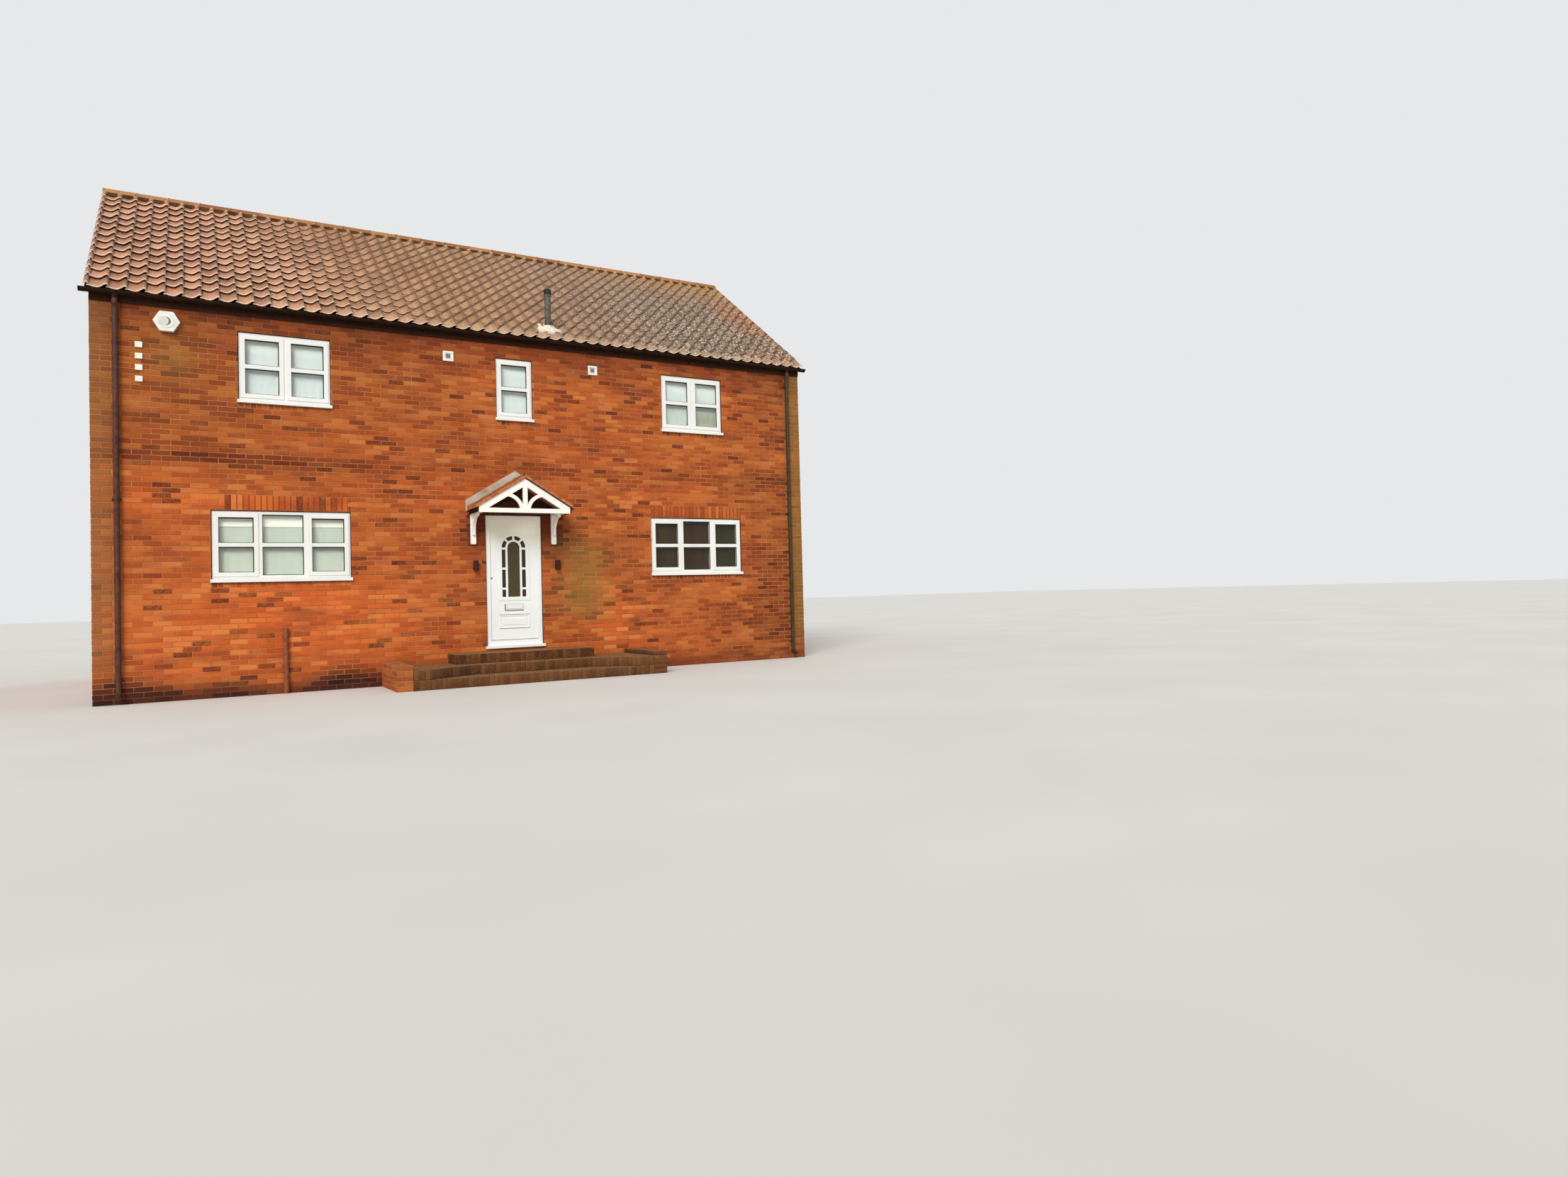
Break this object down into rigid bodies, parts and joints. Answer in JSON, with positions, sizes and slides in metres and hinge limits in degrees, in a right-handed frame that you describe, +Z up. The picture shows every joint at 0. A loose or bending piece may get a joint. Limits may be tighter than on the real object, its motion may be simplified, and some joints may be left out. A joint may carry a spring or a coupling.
{
  "type": "detached house",
  "caption": "Two-storey brick house with a gabled pantiled roof, white windows, a canopied front door that opens, and brick steps.",
  "frame": {"origin": "middle of the ground that the whole house covers, at the level of its lowest ground", "axes": "+X along the front to the right as seen from the street, +Y from the front door into the house, +Z up"},
  "size_m": [11.354, 9.2255, 8.4232],
  "materials": {
    "facing_brick": "orange-red fired facing brick with burnt dark bricks and buff mortar",
    "step_brick": "dark red-brown brick, damp and worn",
    "concrete_floor": "smooth cement screed",
    "timber_floor": "plain softwood boards",
    "clay_pantile": "weathered clay pantiles, brown-grey with lichen",
    "ridge_tile": "half-round clay ridge tiles on mortar",
    "stained_fascia": "dark brown-black stained board",
    "black_rainwater": "black moulded plastic, dusty",
    "grey_pipe": "weathered grey plastic pipe",
    "white_upvc": "white extruded plastic",
    "window_glass": "clear double glazing",
    "white_metal": "white lacquered metal",
    "lock_metal": "dull metal lock cylinder",
    "canopy_tile": "terracotta canopy tiles",
    "mortar": "cream-grey sand and cement mortar",
    "white_painted_timber": "white gloss paint on softwood",
    "white_cover": "white moulded covers",
    "brown_lamp": "dark red-brown lamp housing",
    "brown_pipe": "brown pipe"
  },
  "bodies": {
    "house": {"front_wall_left": "facing_brick", "front_wall_right": "facing_brick", "front_wall_over_door": "facing_brick", "front_wall_under_door": "facing_brick", "rear_wall": "facing_brick", "left_gable_wall": "facing_brick", "right_gable_wall": "facing_brick", "ground_floor": "concrete_floor", "first_floor": "timber_floor", "front_roof_slope": "clay_pantile", "rear_roof_slope": "clay_pantile", "ridge_tiles": "ridge_tile", "fascias": "stained_fascia", "gutters": "black_rainwater", "downpipes": "black_rainwater", "soil_vent_pipe": "grey_pipe", "lower_left_window": "white_upvc", "lower_right_window": "white_upvc", "upper_left_window": "white_upvc", "upper_middle_window": "white_upvc", "upper_right_window": "white_upvc", "rear_windows": "white_upvc", "lower_front_glass": "window_glass", "upper_front_glass": "window_glass", "rear_glass": "window_glass", "window_sills": "white_upvc", "door_frame": "white_upvc", "door_hinges": "white_metal", "canopy_roof": "canopy_tile", "canopy_flashing": "mortar", "canopy_truss": "white_painted_timber", "canopy_brackets": "white_painted_timber", "entrance_landing": "step_brick", "middle_step": "step_brick", "lower_step": "step_brick", "step_piers": "step_brick", "vent_covers": "white_upvc", "alarm_box": "white_cover", "wall_plates": "white_cover", "wall_lights": "brown_lamp", "standpipe": "brown_pipe"},
    "front_door": {"front_door": "white_upvc", "door_glass": "window_glass", "leaf_hinges": "white_metal", "letter_plate": "white_metal", "door_lock": "lock_metal"}
  },
  "joints": [
    {"name": "front_door_hinge", "type": "hinge", "parent": "house", "child": "front_door", "pos_m": [0.4165, -3.086, 1.6], "axis": [0, 0, -1], "range_deg": [0, 90]}
  ]
}
